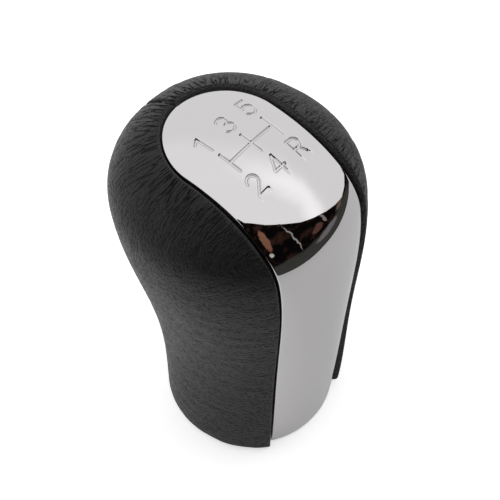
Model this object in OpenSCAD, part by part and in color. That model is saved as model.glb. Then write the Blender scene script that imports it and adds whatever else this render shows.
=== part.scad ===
// Gear shift knob: a chrome-plated cover and two leather panels on a moulded core with a threaded insert.
// Origin at the bottom centre on the thread axis, +Z up, +Y towards the front of the car, millimetres.
// The rear of the knob, with the chrome strip, faces the driver.

/* [Body form] */
// Overall height of the leather form
knob_h = 81; // [78:0.5:84]
// Height at which the head is widest
head_z = 64; // [62:0.5:66]
// Radius of the round base
base_r = 18.3; // [17.9:0.1:18.8]
// Half width of the head
head_half_w = 26; // [25:0.25:27]
// Head radius towards the front of the car
head_front_r = 27; // [26.2:0.1:28]
// Head radius towards the driver
head_rear_r = 24.3; // [23.6:0.1:25]
// Squareness of the sections and the dome, where 2 is an ellipse
form_p = 2.1; // [2:0.05:2.2]
// Forward offset that pulls the centre line at half height
lean_mid = -0.9; // [-1.6:0.1:-0.4]
// Forward offset of the centre line at the top
lean_top = 8.4; // [7.6:0.1:9]

/* [Stem profile] */
// Side radius that shapes the stem low down
side_low_r = 20.5; // [19.9:0.1:21]
// Side radius that shapes the middle of the stem
side_mid_r = 17.7; // [17.2:0.1:18.2]
// Side radius that shapes the neck
side_neck_r = 20.7; // [20:0.1:21.4]
// Front radius that shapes the stem low down
front_low_r = 18.6; // [18:0.1:19.2]
// Front radius that shapes the middle of the stem
front_mid_r = 18.8; // [18.2:0.1:19.4]
// Front radius that shapes the neck
front_neck_r = 22.4; // [21.6:0.1:23.2]
// Rear radius that shapes the stem low down
rear_low_r = 18.8; // [18.2:0.1:19.4]
// Rear radius that shapes the middle of the stem
rear_mid_r = 20.4; // [19.8:0.1:21]
// Rear radius that shapes the neck
rear_neck_r = 19.9; // [19.3:0.1:20.5]

/* [Chrome cover] */
// Half width of the top plate
plate_half_w = 13.4; // [12.8:0.1:14]
// Angle of the plate's front tip above the horizontal
plate_tip_angle = 56.5; // [54:0.5:59]
// Angle at which the plate reaches its full width
plate_full_angle = 88; // [85:0.5:89.5]
// Roundness of the plate's front end, where 2 is an ellipse
plate_tip_p = 2; // [1.9:0.05:2.4]
// Half width that shapes the shoulder
shoulder_half_w = 15; // [14.4:0.1:15.6]
// Half width that shapes the strip's upper part
strip_high_half_w = 11.1; // [10.6:0.1:11.7]
// Half width that shapes the strip's lower part
strip_low_half_w = 12.9; // [12.3:0.1:13.5]
// Half width of the strip at the base
strip_base_half_w = 11.2; // [10.7:0.1:11.7]
// Depth of the chrome face below the leather
cover_sink = 0.8; // [0.6:0.05:1]
// Further depth of the chrome face at the strip's foot
foot_sink = 0.5; // [0.3:0.05:0.6]
// Wall thickness of the chrome moulding
cover_t = 1.8; // [1.6:0.05:2]
// Thickness of the rim round the moulding
rim_t = 1.4; // [1.2:0.05:1.5]
// Depth of the rim from the chrome face
rim_d = 3; // [2.8:0.05:3.3]
// Radius of the rounded edge
cover_edge_r = 0.5; // [0.4:0.05:0.7]
// Radius of the locating pegs
peg_r = 1.5; // [1.3:0.05:1.7]
// Length of the plate's pegs
plate_peg_len = 8; // [6:0.5:9]
// Length of the strip's pegs
strip_peg_len = 5; // [4.5:0.25:5.5]
// Sideways offset of the plate's pegs
plate_peg_x = 7; // [6:0.25:8]
// Height of the strip's lower peg
low_peg_z = 20; // [16:1:26]
// Height of the strip's upper peg
high_peg_z = 46; // [40:1:50]

/* [Leather] */
// Thickness of the leather
leather_t = 1.3; // [1.1:0.05:1.4]
// Gap between the chrome and the rolled leather edge
reveal = 0.35; // [0.3:0.05:0.5]
// Radius of the rolled edge beside the chrome
roll_r = 1; // [0.8:0.05:1.2]
// Depth to which the leather edges are folded in
fold_d = 3.4; // [3.2:0.05:3.6]
// Gap between the two panels at the front seam
seam_gap = 0.1; // [0.06:0.01:0.2]
// Radius of the leather where it turns into the seam
seam_r = 0.8; // [0.6:0.05:1]
// Radius of the leather round the bottom edge
hem_r = 1; // [0.8:0.05:1.2]
// Width of the hem turned in under the core
hem_w = 3; // [2.6:0.1:3.2]

/* [Seam thread] */
// Radius of the thread
thread_r = 0.22; // [0.18:0.01:0.25]
// Length of one stitch
stitch_len = 2.2; // [1.8:0.1:2.4]
// Distance from one stitch to the next
stitch_pitch = 3; // [2.8:0.1:3.6]
// Depth of the stitches below the leather face
stitch_d = 2.5; // [2.2:0.05:2.7]
// Height of the lowest stitch
stitch_z = 6; // [5:0.5:9]

/* [Core] */
// Clearance between the core and the leather
glue_gap = 0.15; // [0.1:0.01:0.2]
// Clearance of the slots and holes that take other pieces
seat_gap = 0.15; // [0.1:0.01:0.2]
// Radius of the boss round the insert
boss_r = 9; // [8.8:0.05:9.2]
// Outer radius of the pockets in the underside
pocket_r = 12.2; // [12:0.05:12.3]
// Top of the pockets
pocket_top_z = 56; // [50:1:60]
// Number of ribs between boss and wall
rib_count = 6; // [6:6:6]
// Thickness of the ribs
rib_t = 1.6; // [1.2:0.1:2]

/* [Threaded insert] */
// Radius of the thread's core hole
thread_hole_r = 5.35; // [5.25:0.01:5.45]
// Depth of the threaded hole
thread_depth = 22; // [18:0.5:24]
// Radius of the insert
insert_r = 7.4; // [7.2:0.05:7.6]
// Length of the insert
insert_len = 25; // [25:0.5:28]
// Height of the insert's mouth
insert_z = 1.6; // [1.4:0.1:2]
// Size across the flats of the hexagon that stops the insert turning
hex_flats = 14.6; // [14.3:0.1:14.8]
// Length of the hexagon at the mouth
hex_len = 6; // [5:0.5:8]
// Depth of the two grooves that hold the insert
groove_depth = 0.9; // [0.6:0.05:1.1]
// Width of the two grooves
groove_w = 3; // [2:0.25:3.5]

/* [Base cap] */
// Radius of the cap's flange
flange_r = 15; // [14.6:0.1:15.4]
// Thickness of the flange
flange_t = 0.8; // [0.7:0.05:0.9]
// Bevel round the flange's lower edge
flange_bevel = 0.3; // [0.2:0.05:0.4]
// Radius of the hole round the insert
cap_hole_r = 8.8; // [8.7:0.05:9.2]
// Height of the snap legs above the core's underside
leg_h = 7; // [5:0.5:9]
// Width of a snap leg
leg_w = 4; // [3:0.25:4.5]
// Thickness of a snap leg
leg_t = 1.4; // [1.2:0.05:1.6]
// How far a snap leg's barb stands out
barb = 0.5; // [0.3:0.05:0.6]

/* [Hidden] */
$fn = 64;

black = [0.16, 0.16, 0.17];
dome_h = knob_h - head_z;
side_r = [base_r, side_low_r, side_mid_r, side_neck_r, head_half_w, head_half_w];
front_r = [base_r, front_low_r, front_mid_r, front_neck_r, head_front_r, head_front_r];
rear_r = [base_r, rear_low_r, rear_mid_r, rear_neck_r, head_rear_r, head_rear_r];
outline_w = [plate_half_w, plate_half_w, shoulder_half_w, strip_high_half_w, strip_low_half_w, strip_base_half_w];
// Length of the outline along the middle line, from its widest angle to the foot of the strip
shoulder_len = (180 - plate_full_angle) * PI / 180 * (head_rear_r + dome_h) / 2;
// Turn of the dome angle for one millimetre along the middle line at the plate's tip
tip_turn = 180 / PI / norm([head_front_r * sin(plate_tip_angle), dome_h * cos(plate_tip_angle)]);
tip_start = 9;
tip_steps = 8;
plate_steps = 14;
strip_steps = 12;
dome_steps = tip_steps + plate_steps;
steps = dome_steps + strip_steps;
hem_gap = 0.1;
hem_z = flange_t + hem_gap;
core_inset = leather_t + glue_gap;
core_z = hem_z + core_inset;
core_chamfer = 0.4;
pocket_inset = cover_sink + rim_d + seat_gap;
wall_lean = 0.35;
pocket_e = reveal + leather_t + wall_lean + seat_gap;
seam_slot = 2.3;
seam_slot_play = 0.8;
seam_slot_inset = fold_d + seam_slot_play;
front_meet = 3;
// Share of the radius at which the middle point of a rounded edge lies
mid = 0.3;
// Size of the soft corner on the inner face of a fold
inner_turn = 0.2;
// Share of the lesser depth that is added where two folds meet
fold_share = 0.04;
// Distance by which a cut runs past the face that it starts from
overrun = 1;
// Lift of the edges that are already folded in where a second fold crosses them
fold_lift = 0.25;

// Value with the sign kept through a power
function spow(v, n) = sign(v) * pow(abs(v), n);

// Smooth curve through its first and last value, pulled by the four between
function curve(t, v) =
    let (s = 1 - t)
    v[0] * pow(s, 5) + 5 * v[1] * t * pow(s, 4) + 10 * v[2] * pow(t, 2) * pow(s, 3)
    + 10 * v[3] * pow(t, 3) * pow(s, 2) + 5 * v[4] * pow(t, 4) * s + v[5] * pow(t, 5);

// Forward offset of the centre line at height z
function centre_y(z) =
    let (t = z / knob_h)
    2 * t * (1 - t) * lean_mid + t * t * lean_top;

// Point of the form at section angle a (0 at the side, 90 in front, -90 at the rear), at height h and inset d.
// Above the head's widest level, h counts degrees of latitude over the dome.
function skin(a, h, d) =
    let (
        p = 2 / form_p,
        lat = max(h - head_z, 0),
        t = min(h / head_z, 1),
        shrink = spow(cos(lat), p),
        rise = spow(sin(lat), p),
        side = curve(t, side_r) - d,
        ends = curve(t, sin(a) >= 0 ? front_r : rear_r) - d,
        level = min(h, head_z)
    )
    [
        side * shrink * spow(cos(a), p),
        centre_y(level + dome_h * rise) + ends * shrink * spow(sin(a), p),
        level + (dome_h - d) * rise
    ];

// Section angle and height of the point x to the side of the dome's middle line at angle phi
function on_dome(x, phi) =
    let (
        k = pow(1 - pow(x / head_half_w, form_p), 1 / form_p),
        lat = asin(pow(k, form_p / 2) * sin(phi)),
        rim = head_half_w * spow(cos(lat), 2 / form_p),
        a = acos(pow(min(x / rim, 1), form_p / 2))
    )
    [phi <= 90 ? a : -a, head_z + lat];

// Section angle and height of the point x to the side of the stem's middle line at height z
function on_stem(x, z, front) =
    let (a = acos(pow(x / curve(z / head_z, side_r), form_p / 2)))
    [front ? a : -a, z];

// Half width of the chrome outline, len along the middle line from the full-width angle
function outline(len) = curve(len / (shoulder_len + head_z), outline_w);

// Angle of a tip step, from first at the front tip to 90 at full width
function tip_angle(i, first) = first + (90 - first) * i / tip_steps;

// Dome angle of step i on the outline enlarged by e
function step_phi(i, e, first) =
    i < tip_steps
    ? plate_full_angle - (plate_full_angle - plate_tip_angle + e * tip_turn) * cos(tip_angle(i, first))
    : plate_full_angle + (180 - plate_full_angle) * (i - tip_steps) / plate_steps;

// Half width of step i on the outline enlarged by e
function step_w(i, e, first) =
    i < tip_steps
    ? (plate_half_w + e) * pow(sin(tip_angle(i, first)), 2 / plate_tip_p)
    : outline(shoulder_len * (i - tip_steps) / plate_steps) + e;

// Height of step i on the strip, down to height low
function step_z(i, low) = head_z + (low - head_z) * (i - dome_steps) / strip_steps;

// Section angle and height at the share v of the outline's half width
function edge(i, e, v, first, low) =
    i <= dome_steps
    ? on_dome(v * step_w(i, e, first), step_phi(i, e, first))
    : let (z = step_z(i, low)) on_stem(v * (outline(shoulder_len + head_z - z) + e), z, false);

// Height coordinate on the front middle line that belongs to step i
function front_h(i, low) =
    i <= dome_steps
    ? head_z + (plate_tip_angle - pocket_e * tip_turn - front_meet) * (1 - i / dome_steps)
    : step_z(i, low);

// Section angle and height x to the side of the front middle line at height coordinate h
function on_front(x, h) =
    h > head_z
    ? let (rim = head_half_w * spow(cos(h - head_z), 2 / form_p)) [acos(pow(min(x / rim, 1), form_p / 2)), h]
    : on_stem(x, h, true);

// Position the share f of the way round the section from one position to another
function around(from, to, f) =
    let (a = from[0] + (to[0] - from[0]) * f, g = (sin(a) - sin(from[0])) / (sin(to[0]) - sin(from[0])))
    [a, from[1] + (to[1] - from[1]) * (to[0] - from[0] > 1 ? g : f)];

// Closed solid between an outer and an inner grid of points
module sheet(outer, inner) {
    rows = len(outer);
    cols = len(outer[0]);
    n = rows * cols;
    points = [for (row = outer) each row, for (row = inner) each row];
    skin_faces = [
        for (i = [0:rows - 2], j = [0:cols - 2])
            let (a = i * cols + j, b = a + 1, c = a + cols, d = c + 1)
            each [[a, b, d], [a, d, c], [n + a, n + d, n + b], [n + a, n + c, n + d]]
    ];
    row_ends = [
        for (j = [0:cols - 2])
            let (a = j, b = (rows - 1) * cols + j)
            each [[a, n + a, n + a + 1], [a, n + a + 1, a + 1], [b, n + b + 1, n + b], [b, b + 1, n + b + 1]]
    ];
    col_ends = [
        for (i = [0:rows - 2])
            let (a = i * cols, b = a + cols - 1)
            each [
                [a, n + a + cols, n + a], [a, a + cols, n + a + cols],
                [b, n + b, n + b + cols], [b, n + b + cols, b + cols]
            ]
    ];
    polyhedron(points, concat(skin_faces, row_ends, col_ends));
}

// Depth where two folded edges meet in a corner
function fold(side, end) = max(side, end) + fold_share * min(side, end);

// Leather panels
panel_steps = 12;
// Rolled edge beside the chrome, as [distance from the chrome, depth], outer face then inner face
roll_outer = [[reveal, fold_d], [reveal, roll_r], [reveal + mid * roll_r, mid * roll_r], [reveal + roll_r, 0]];
roll_in_x = reveal + leather_t;
roll_inner = [
    [roll_in_x, fold_d], [roll_in_x, leather_t + inner_turn],
    [roll_in_x + mid * inner_turn, leather_t + mid * inner_turn], [roll_in_x + inner_turn, leather_t]
];
// Turn into the front seam, as [distance from the middle plane, depth]
seam_outer = [
    [seam_gap / 2 + seam_r, 0], [seam_gap / 2 + mid * seam_r, mid * seam_r],
    [seam_gap / 2, seam_r], [seam_gap / 2, fold_d]
];
seam_in_x = seam_gap / 2 + leather_t;
seam_inner = [
    [seam_in_x + inner_turn, leather_t], [seam_in_x + mid * inner_turn, leather_t + mid * inner_turn],
    [seam_in_x, leather_t + inner_turn], [seam_in_x, fold_d]
];
// Turn under the bottom edge, as [height above the hem, depth, lift of the folded edges]
hem_outer = [[hem_r, 0, 0], [mid * hem_r, mid * hem_r, 0], [0, hem_r, fold_lift], [0, hem_r + hem_w, 0]];
hem_inner = [
    [leather_t + inner_turn, leather_t, 0], [leather_t + mid * inner_turn, leather_t + mid * inner_turn, 0],
    [leather_t, leather_t + inner_turn, fold_lift], [leather_t, hem_r + hem_w, 0]
];

function panel_face(roll, seam, hem, d) = [
    for (i = [0:steps + 3])
        let (
            row = min(i, steps),
            turn = hem[i - row],
            low = hem_z + turn[0],
            at_tip = i == 0 ? seam_gap / 2 : knob_h,
            roll_at = [for (r = roll) edge(row, r[0], 1, 0, low)],
            seam_at = [for (s = seam) on_front(s[0], front_h(row, low))],
            places = concat(
                [for (j = [0:3]) [roll_at[j], roll[j][1]]],
                [for (k = [1:panel_steps - 1]) [around(roll_at[3], seam_at[0], k / panel_steps), d]],
                [for (j = [0:3]) [seam_at[j], seam[j][1]]]
            )
        )
        [
            for (s = places)
                let (
                    lift = turn[2] * sqrt((s[1] - d) / (fold_d - d)),
                    q = skin(s[0][0], s[0][1] + lift, d + fold(s[1] - d, turn[1] - d))
                )
                [min(max(q[0], seam_gap / 2), at_tip), q[1], q[2]]
        ]
];

module leather_panel() {
    sheet(
        panel_face(roll_outer, seam_outer, hem_outer, 0),
        panel_face(roll_inner, seam_inner, hem_inner, leather_t)
    );
}

module leather_left() {
    color(black) mirror([1, 0, 0]) leather_panel();
}

module leather_right() {
    color(black) leather_panel();
}

// Chrome cover
cover_steps = 10;
// Edge of the moulding, as [distance from the outline, depth below the face], outer face then inner face
rim_outer = [[0, rim_d], [0, cover_edge_r], [-mid * cover_edge_r, mid * cover_edge_r], [-cover_edge_r, 0]];
rim_inner = [
    [-rim_t, rim_d], [-rim_t, cover_t + inner_turn],
    [-rim_t - mid * inner_turn, cover_t + mid * inner_turn], [-rim_t - inner_turn, cover_t]
];
// Lip under the core at the strip's foot, as [height above the hem, depth, lift of the rim]
lip_outer = [
    [cover_edge_r, 0, 0], [mid * cover_edge_r, mid * cover_edge_r, 0],
    [0, cover_edge_r, fold_lift], [0, rim_d, 0]
];
lip_inner = [
    [rim_t + inner_turn, cover_t, 0], [rim_t + mid * inner_turn, cover_t + mid * inner_turn, 0],
    [rim_t, cover_t + inner_turn, fold_lift], [rim_t, rim_d, 0]
];
// Share by which each step past the front tip draws the cover in
tip_pinch = 0.08;

// Further depth of the cover at height h, which dies out from the face down to the rim
function sink_at(h, below) = foot_sink * pow(1 - min(h / head_z, 1), 2) * (1 - min(below / rim_d, 1));

function cover_face(rim, lip, d) = [
    for (i = [-3:steps + 3])
        let (
            row = min(max(i, 0), steps),
            tip = max(-i, 0),
            turn = lip[max(i - steps, 0)],
            end_d = (tip > 0 ? rim[3 - tip][1] : turn[1]) - d,
            low = hem_z + turn[0],
            pinch = 1 - tip_pinch * tip,
            spread = concat(
                [for (j = [0:3]) [-1, rim[j]]],
                [for (k = [1:cover_steps - 1]) [2 * k / cover_steps - 1, rim[3]]],
                [for (j = [3:-1:0]) [1, rim[j]]]
            )
        )
        [
            for (s = spread)
                let (
                    v = abs(s[0]) * pinch,
                    e = tip > 0 ? max(s[1][0], rim[3 - tip][0]) : s[1][0],
                    place = edge(row, e, v, tip_start, low),
                    side_d = s[1][1] - d,
                    lift = turn[2] * sqrt(side_d / (rim_d - d)),
                    below = d + fold(side_d, end_d),
                    q = skin(place[0], place[1] + lift, cover_sink + below + sink_at(place[1], below))
                )
                [(s[0] < 0 ? -1 : 1) * q[0], q[1], q[2]]
        ]
];

// Positions of the locating pegs: section angle and height on the plate, height on the strip
plate_pegs = [on_dome(plate_peg_x, plate_full_angle), on_dome(plate_peg_x, 130)];
strip_pegs = [low_peg_z, high_peg_z];
peg_root = cover_sink + cover_t / 2;

module pegs(r, slack) {
    for (place = plate_pegs, side = [0, 1]) {
        root = skin(place[0], place[1], peg_root);
        mirror([side, 0, 0])
            translate([root[0], root[1], root[2] - plate_peg_len - slack])
                cylinder(r = r, h = plate_peg_len + slack, $fn = 32);
    }
    for (z = strip_pegs) {
        translate(skin(-90, z, peg_root))
            rotate([-90, 0, 0])
                cylinder(r = r, h = strip_peg_len + slack, $fn = 32);
    }
}

module chrome_cover() {
    color([0.8, 0.81, 0.83])
        union() {
            sheet(cover_face(rim_outer, lip_outer, 0), cover_face(rim_inner, lip_inner, cover_t));
            pegs(peg_r, 0);
        }
}

// Seam thread: the stitches that lie along both sides of the folded-in seam
thread_play = 0.05;
stitch_x = seam_gap / 2 + leather_t + thread_r + thread_play;
// Height over which the slope of a stitch is measured
slope_step = 0.5;
// Distance from the top stitch to the head's widest level
stitch_top_gap = 1;

module stitch(h) {
    start = skin(90, h, stitch_d);
    ahead = skin(90, h + slope_step, stitch_d) - start;
    tilt = atan2(ahead[1], ahead[2]);
    translate([stitch_x, start[1], start[2]])
        rotate([-tilt, 0, 0])
            cylinder(r = thread_r, h = stitch_len, $fn = 16);
}

module seam_thread() {
    last = head_z - stitch_len - stitch_top_gap;
    color([0.1, 0.1, 0.1])
        for (h = [stitch_z:stitch_pitch:last], side = [0, 1]) {
            mirror([side, 0, 0]) stitch(h);
        }
}

// Core
core_steps = 9;
// Share of the cover's half width between two points of its seat
seat_step = 0.25;
// Distance from the top of a snap leg down to its barb's underside
barb_drop = 2.5;
barb_rise = leg_h - barb_drop;
barb_z = core_z + barb_rise;

// Right half of the core's section at step i, from the seam slot in front to the middle of the cover's seat
function core_half(i) =
    let (
        row = min(i, steps),
        low = i > steps ? core_z : core_z + core_chamfer,
        inset = i > steps ? core_inset + core_chamfer : core_inset,
        front = front_h(row, low),
        slot_top = on_front(seam_slot, front),
        seat_top = edge(row, pocket_e, 1, tip_start, low)
    )
    [
        let (s = on_front(seam_slot - wall_lean, front)) skin(s[0], s[1], seam_slot_inset),
        skin(slot_top[0], slot_top[1], inset),
        for (k = [1:core_steps]) let (s = around(slot_top, seat_top, k / core_steps)) skin(s[0], s[1], inset),
        for (v = [1:-seat_step:0])
            let (s = edge(row, pocket_e - wall_lean, v, tip_start, low)) skin(s[0], s[1], pocket_inset)
    ];

module core_form() {
    halves = [for (i = [0:steps + 1]) core_half(i)];
    h = len(halves[0]);
    n = 2 * h - 1;
    rings = [
        for (half = halves)
            concat(half, [for (j = [h - 2:-1:0]) [-half[j][0], half[j][1], half[j][2]]])
    ];
    last = len(rings) - 1;
    base_centre = n * len(rings);
    walls = [
        for (i = [0:last - 1], j = [0:n - 1])
            let (a = i * n + j, b = i * n + (j + 1) % n, c = a + n, d = b + n)
            each [[a, d, b], [a, c, d]]
    ];
    tip_end = [
        for (j = [0:h - 2])
            let (a = j, b = j + 1, c = n - 1 - j, d = c - 1)
            each j < h - 2 ? [[a, b, d], [a, d, c]] : [[a, b, c]]
    ];
    base = [for (j = [0:n - 1]) [last * n + j, base_centre, last * n + (j + 1) % n]];
    polyhedron(
        [for (ring = rings) each ring, [0, 0, core_z]],
        concat(walls, tip_end, base)
    );
}

insert_play = 0.02;
// Distance of the round profile's filling from the insert's faces
fill_in = 1;

// Half profile of the round part of the insert, enlarged by gap
module insert_profile(gap) {
    hex_top = insert_z + hex_len;
    grooves = [for (k = [1, 2]) hex_top + k * (insert_len - hex_len) / 3 - groove_w / 2];
    translate([0, insert_z + fill_in]) square([hex_flats / 2 - fill_in, insert_len - 2 * fill_in]);
    difference() {
        translate([0, hex_top]) square([insert_r + gap, insert_len - hex_len + gap]);
        for (z = grooves) {
            translate([insert_r - groove_depth + gap, z + gap]) square([groove_depth, groove_w - 2 * gap]);
        }
    }
}

module insert_hex(gap) {
    translate([0, 0, insert_z - gap])
        cylinder(r = (hex_flats / 2 + gap) / cos(30), h = hex_len + gap, $fn = 6);
}

module core() {
    color([0.22, 0.22, 0.23])
        difference() {
            core_form();
            translate([0, 0, core_z - overrun])
                linear_extrude(pocket_top_z - core_z + overrun)
                    difference() {
                        circle(pocket_r);
                        circle(boss_r);
                        for (k = [0:rib_count - 1]) {
                            rotate(360 * k / rib_count) translate([0, -rib_t / 2]) square([pocket_r, rib_t]);
                        }
                    }
            translate([0, 0, barb_z - seat_gap])
                rotate_extrude()
                    translate([pocket_r - overrun, 0])
                        square([overrun + barb + seat_gap, barb_drop + seat_gap]);
            rotate_extrude() insert_profile(insert_play);
            insert_hex(insert_play);
            pegs(peg_r + seat_gap, seat_gap);
        }
}

// Threaded insert
module threaded_insert() {
    color([0.78, 0.62, 0.3])
        difference() {
            union() {
                rotate_extrude() insert_profile(0);
                insert_hex(0);
            }
            translate([0, 0, insert_z - overrun]) cylinder(r = thread_hole_r, h = thread_depth + overrun);
        }
}

// Base cap
cap_collar_r = base_r - hem_r - hem_w - 2 * seat_gap;

module snap_leg() {
    wall = sqrt(pow(pocket_r - seat_gap, 2) - pow(leg_w / 2, 2));
    top = core_z + leg_h;
    translate([0, leg_w / 2, 0])
        rotate([90, 0, 0])
            linear_extrude(leg_w)
                polygon([
                    [wall - leg_t, flange_t / 2], [wall, flange_t / 2], [wall, barb_z], [wall + barb, barb_z],
                    [wall + barb, barb_z + barb], [wall - leg_t / 2, top], [wall - leg_t, top]
                ]);
}

module base_cap() {
    color([0.13, 0.13, 0.14])
        union() {
            difference() {
                union() {
                    cylinder(r1 = flange_r - flange_bevel, r2 = flange_r, h = flange_bevel);
                    translate([0, 0, flange_bevel]) cylinder(r = flange_r, h = flange_t - flange_bevel);
                    cylinder(r = cap_collar_r, h = core_z - seat_gap);
                }
                translate([0, 0, -overrun]) cylinder(r = cap_hole_r, h = core_z + 2 * overrun);
            }
            for (k = [0:2]) {
                rotate(120 * k + 30) snap_leg();
            }
        }
}

chrome_cover();
leather_left();
leather_right();
seam_thread();
core();
threaded_insert();
base_cap();
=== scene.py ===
"""Looks of a gear shift knob: a mirror-plated cover with the pattern of the gears, in grained leather.

Lengths are in metres and angles in radians. The knob stands on the origin, +Z up, with +Y towards the front
of the car. Run as a script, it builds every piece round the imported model. Its classes form an add-on for the
same work by hand.
"""

import math
from functools import partial, reduce
from types import SimpleNamespace

import bmesh
import bpy
import numpy as np
from bpy.props import FloatProperty, FloatVectorProperty, PointerProperty
from bpy.types import NodeSocket, Operator, Panel, PropertyGroup
from mathutils import Matrix, Vector


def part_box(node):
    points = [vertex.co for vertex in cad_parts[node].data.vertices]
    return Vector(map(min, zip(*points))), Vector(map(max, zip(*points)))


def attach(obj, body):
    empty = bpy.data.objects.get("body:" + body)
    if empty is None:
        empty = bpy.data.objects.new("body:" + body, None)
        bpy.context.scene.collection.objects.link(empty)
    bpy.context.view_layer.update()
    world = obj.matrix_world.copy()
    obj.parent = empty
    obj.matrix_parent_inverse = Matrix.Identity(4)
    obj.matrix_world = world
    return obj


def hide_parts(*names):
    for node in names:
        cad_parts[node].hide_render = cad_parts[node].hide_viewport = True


bl_info = {
    "name": "Gear Shift Knob",
    "version": (1, 0, 0),
    "blender": (4, 5, 0),
    "location": "View3D > Sidebar > Knob",
    "description": "Builds the plated cover, the leather and the stage of a gear shift knob",
    "category": "Add Mesh",
}

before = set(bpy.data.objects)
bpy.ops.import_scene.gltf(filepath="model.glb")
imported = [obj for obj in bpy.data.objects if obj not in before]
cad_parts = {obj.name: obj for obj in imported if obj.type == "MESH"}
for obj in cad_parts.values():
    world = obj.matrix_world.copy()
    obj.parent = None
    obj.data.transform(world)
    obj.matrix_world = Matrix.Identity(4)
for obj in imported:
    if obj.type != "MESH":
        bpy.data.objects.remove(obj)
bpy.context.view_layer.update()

MM = 0.001
HALF_TURN = math.pi
QUARTER = math.pi / 2
# Distance at which a mesh's points are merged, and the smallest divisor.
MERGE = 5e-7
TINY = 1e-12
BODY = "root"
# Height of the leather's bottom edge above the table.
HEM_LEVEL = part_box("leather_right")[0].z
# Share of the seam above the head's widest level that the rows of the plate's rounded front end reach.
TIP_SHARE = 8 / 22
# Size of the small bevels on inner faces.
SOFT = 0.2 * MM
# Places along the rolled edge that distances are measured from, and the blur between them.
EDGE_SAMPLES = 240
EDGE_BLUR = 2 * MM
# Scale of the creases' pattern away from the edge, against its scale along the edge.
FOLD_STRETCH = 0.12
# Rows of a leather panel: round the tip, over the dome, down the stem, round the bottom edge, in the hem.
PANEL_ROWS = (72, 122, 132, 9, 5)
# Columns round the side of a leather panel's outer and inner face.
PANEL_COLUMNS = 192
INNER_COLUMNS = 14
# Distance over the dome and angle between the plate's front tip and the seam's start.
SEAM_START = 0.5 * MM
SEAM_START_ANGLE = math.radians(3)
# Turn from the roll to the seam under which the surface between them is divided evenly.
NARROW = math.radians(1)


def number(name, description, default, **options):
    """A property that is one number."""
    return FloatProperty(name=name, description=description, default=default, **options)


def length(name, description, default):
    """A length property in metres, with its default given in millimetres."""
    return number(name, description, default * MM, unit="LENGTH", precision=5)


def lengths(name, description, defaults):
    """A row of length properties in metres, with their defaults given in millimetres."""
    return FloatVectorProperty(
        name=name, description=description, default=[value * MM for value in defaults], size=len(defaults),
        unit="LENGTH",
    )


def degrees(name, description, default):
    """An angle property, with its default given in degrees."""
    return number(name, description, math.radians(default), subtype="ANGLE")


def colour(name, description, default):
    """A colour property."""
    return FloatVectorProperty(name=name, description=description, default=default, size=3, subtype="COLOR")


class KnobForm(PropertyGroup):
    """The surface that the leather's outside follows."""

    height: length("Height", "Overall height of the leather form", 81)
    head_level: length("Head level", "Height at which the head is widest", 64)
    squareness: number("Squareness", "Exponent of the sections and the dome, where 2 is an ellipse", 2.1)
    lean_mid: length("Lean at mid height", "Forward pull on the centre line at half height", -0.9)
    lean_top: length("Lean at the top", "Forward offset of the centre line at the top", 8.4)
    side_radii: lengths(
        "Side radii", "Radii to the side, from the base to the head", (18.3, 20.5, 17.7, 20.7, 26)
    )
    front_radii: lengths(
        "Front radii", "Radii towards the front, from the base to the head", (18.3, 18.6, 18.8, 22.4, 27)
    )
    rear_radii: lengths(
        "Rear radii", "Radii towards the rear, from the base to the head", (18.3, 18.8, 20.4, 19.9, 24.3)
    )


class CoverTrim(PropertyGroup):
    """The plated cover's outline, section and finish."""

    half_width: length("Plate half width", "Half width of the top plate", 13.4)
    tip_angle: degrees("Tip angle", "Angle of the plate's front tip above the horizontal", 56.5)
    full_angle: degrees("Full width angle", "Angle at which the plate reaches its full width", 88)
    tip_squareness: number("Tip squareness", "Exponent of the plate's front end, where 2 is an ellipse", 2)
    strip_half_widths: lengths(
        "Strip half widths", "Half widths that shape the shoulder and the strip down to its foot",
        (15, 11.1, 12.9, 11.2),
    )
    sink: length("Sink", "Depth of the plated face below the leather", 0.8)
    foot_sink: length("Foot sink", "Further depth of the plated face at the strip's foot", 0.9)
    thickness: length("Thickness", "Wall thickness of the moulding", 1.8)
    edge_radius: length("Edge radius", "Radius of the rounded edge", 0.5)
    rim_depth: length("Rim depth", "Depth of the rim below the face", 3)
    rim_thickness: length("Rim thickness", "Thickness of the rim", 1.4)
    plating: colour("Plating", "Colour that the plating gives to what it reflects", (0.617, 0.604, 0.607))
    roughness: number("Roughness", "Roughness of the plating", 0.02, min=0, max=1)


class GearPattern(PropertyGroup):
    """The pattern of the gears cut into the top plate."""

    centre: lengths(
        "Centre", "Place of the neutral crossing on the plate, to the right and to the front", (1.41, 4.13)
    )
    spacing: length("Spacing", "Distance between the pattern's lines", 6.43)
    line_length: length("Line length", "Length of the pattern's lines", 5.35)
    digit_height: length("Digit height", "Height of the digits along their middle line", 4.2)
    digit_offset: length("Digit offset", "Distance from a line's end to the middle of its digit", 4)
    stroke: length("Stroke", "Width of the cut", 0.78)
    wall: length("Wall", "Width that the cut's sloping wall takes", 0.27)
    depth: length("Depth", "Depth of the cut", 0.48)


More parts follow.
